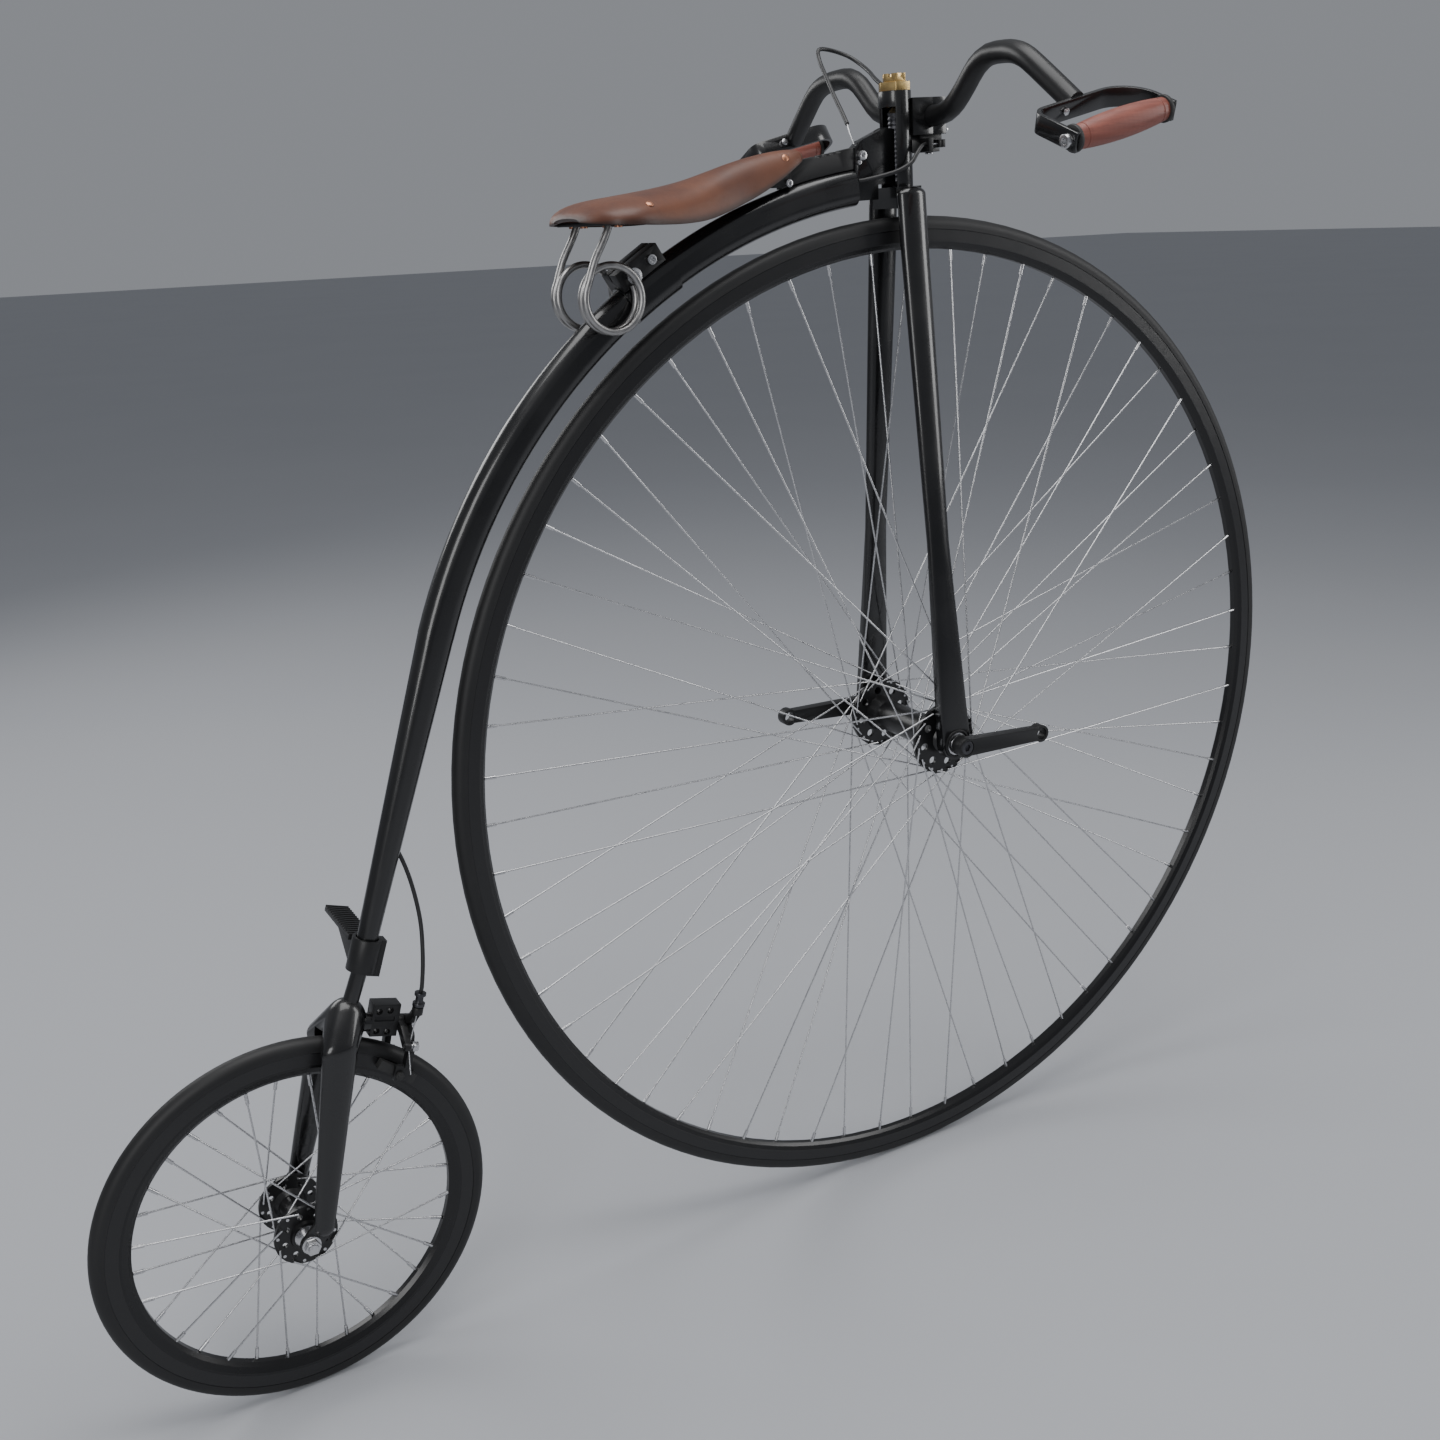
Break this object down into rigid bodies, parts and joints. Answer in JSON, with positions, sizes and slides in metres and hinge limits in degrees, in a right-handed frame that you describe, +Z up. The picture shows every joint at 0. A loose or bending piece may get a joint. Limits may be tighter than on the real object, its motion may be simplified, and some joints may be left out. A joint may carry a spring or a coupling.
{
  "type": "high wheel bicycle",
  "caption": "High-wheel bicycle with a large front wheel, small rear wheel, curved backbone, leather saddle and spade-grip handlebar.",
  "frame": {"origin": "on the ground, midway between the front of the large tyre and the back of the small tyre, in the wheels' plane", "axes": "+X forward, +Y to the rider's left, +Z up"},
  "size_m": [1.6279, 0.625, 1.3847],
  "materials": {
    "black_gloss": "gloss enamel",
    "dark_steel": "oiled, dark",
    "bright_steel": "bright zinc or polished",
    "leather": "smooth, waxed",
    "copper": "polished rivets",
    "brass": "turned and polished",
    "tyre": "matte solid rubber",
    "wood": "oiled, reddish",
    "black_plastic": "matte",
    "pad_rubber": "matte",
    "cable_black": "satin sheath"
  },
  "bodies": {
    "frame": {"backbone_front": "black_gloss", "backbone_rear": "black_gloss", "neck": "black_gloss", "steering_spindle": "dark_steel", "frame_bolts": "bright_steel", "saddle_rail": "black_gloss", "spring_clamp": "black_gloss", "saddle_leather": "leather", "saddle_frame": "black_gloss", "saddle_springs": "bright_steel", "saddle_rivets": "copper", "saddle_nose_clamp": "black_gloss", "step_collar": "black_gloss", "mounting_step": "black_gloss", "rear_fork": "black_gloss", "rear_axle": "bright_steel", "rear_axle_nuts": "bright_steel", "brake_bracket": "black_gloss", "brake_pivot": "bright_steel", "rear_brake_cable": "cable_black"},
    "caliper_right": {"caliper_arm_right": "black_gloss", "brake_pad_right": "pad_rubber", "barrel_adjuster": "dark_steel"},
    "caliper_left": {"caliper_arm_left": "black_gloss", "brake_pad_left": "pad_rubber", "cable_anchor": "bright_steel"},
    "rear_wheel": {"rear_tyre": "tyre", "rear_rim": "black_gloss", "rear_spokes": "bright_steel", "rear_nipples": "bright_steel", "rear_hub": "black_gloss", "rear_bearings": "bright_steel"},
    "steering": {"fork_head": "black_gloss", "fork_blades": "black_gloss", "bearing_holders": "black_gloss", "front_bearings": "bright_steel", "head_locknut": "brass", "head_adjuster": "brass", "bar_clamp": "black_gloss", "bar_clamp_cap": "black_gloss", "bar_clamp_bolts": "bright_steel", "handlebar": "black_gloss", "grip_bands": "black_gloss", "band_screws": "bright_steel", "grips": "wood", "grip_discs": "black_plastic", "grip_bolts": "bright_steel", "lever_bracket": "black_gloss", "lever_pin": "bright_steel", "lever_cable": "cable_black", "bar_cable": "cable_black"},
    "lever": {"brake_lever": "black_gloss"},
    "front_wheel": {"front_tyre": "tyre", "front_rim": "black_gloss", "front_spokes": "bright_steel", "front_nipples": "bright_steel", "front_hub": "black_gloss", "front_axle": "bright_steel", "cranks": "black_gloss", "crank_bolts": "bright_steel"}
  },
  "joints": [
    {"name": "steer", "type": "hinge", "parent": "frame", "child": "steering", "pos_m": [0.214, 0, 0.6], "axis": [-0.0286, 0, 0.9996], "range_deg": [-30, 30], "deforming": ["lever_cable", "bar_cable"]},
    {"name": "front_wheel_spin", "type": "hinge", "parent": "steering", "child": "front_wheel", "pos_m": [0.214, 0, 0.6], "axis": [0, 1, 0], "continuous": true},
    {"name": "rear_wheel_spin", "type": "hinge", "parent": "frame", "child": "rear_wheel", "pos_m": [-0.604, 0, 0.21], "axis": [0, 1, 0], "continuous": true},
    {"name": "brake_lever_pull", "type": "hinge", "parent": "steering", "child": "lever", "pos_m": [0.24172, 0.002, 1.27407], "axis": [-0.0286, 0, 0.9996], "range_deg": [0, 20], "stiffness_Nm_per_rad": 0.4, "springref_deg": -17.19, "deforming": ["lever_cable"]},
    {"name": "caliper_right_close", "type": "hinge", "parent": "frame", "child": "caliper_right", "pos_m": [-0.474, 0, 0.406], "axis": [0.9613, 0, -0.2756], "range_deg": [0, 1.6], "deforming": ["rear_brake_cable"]},
    {"name": "caliper_left_close", "type": "hinge", "parent": "frame", "child": "caliper_left", "pos_m": [-0.474, 0, 0.406], "axis": [0.9613, 0, -0.2756], "range_deg": [-1.6, 0], "deforming": ["rear_brake_cable"]}
  ],
  "couplings": [
    {"joint": "caliper_right_close", "follows": "brake_lever_pull", "ratio": 0.08},
    {"joint": "caliper_left_close", "follows": "brake_lever_pull", "ratio": -0.08}
  ]
}
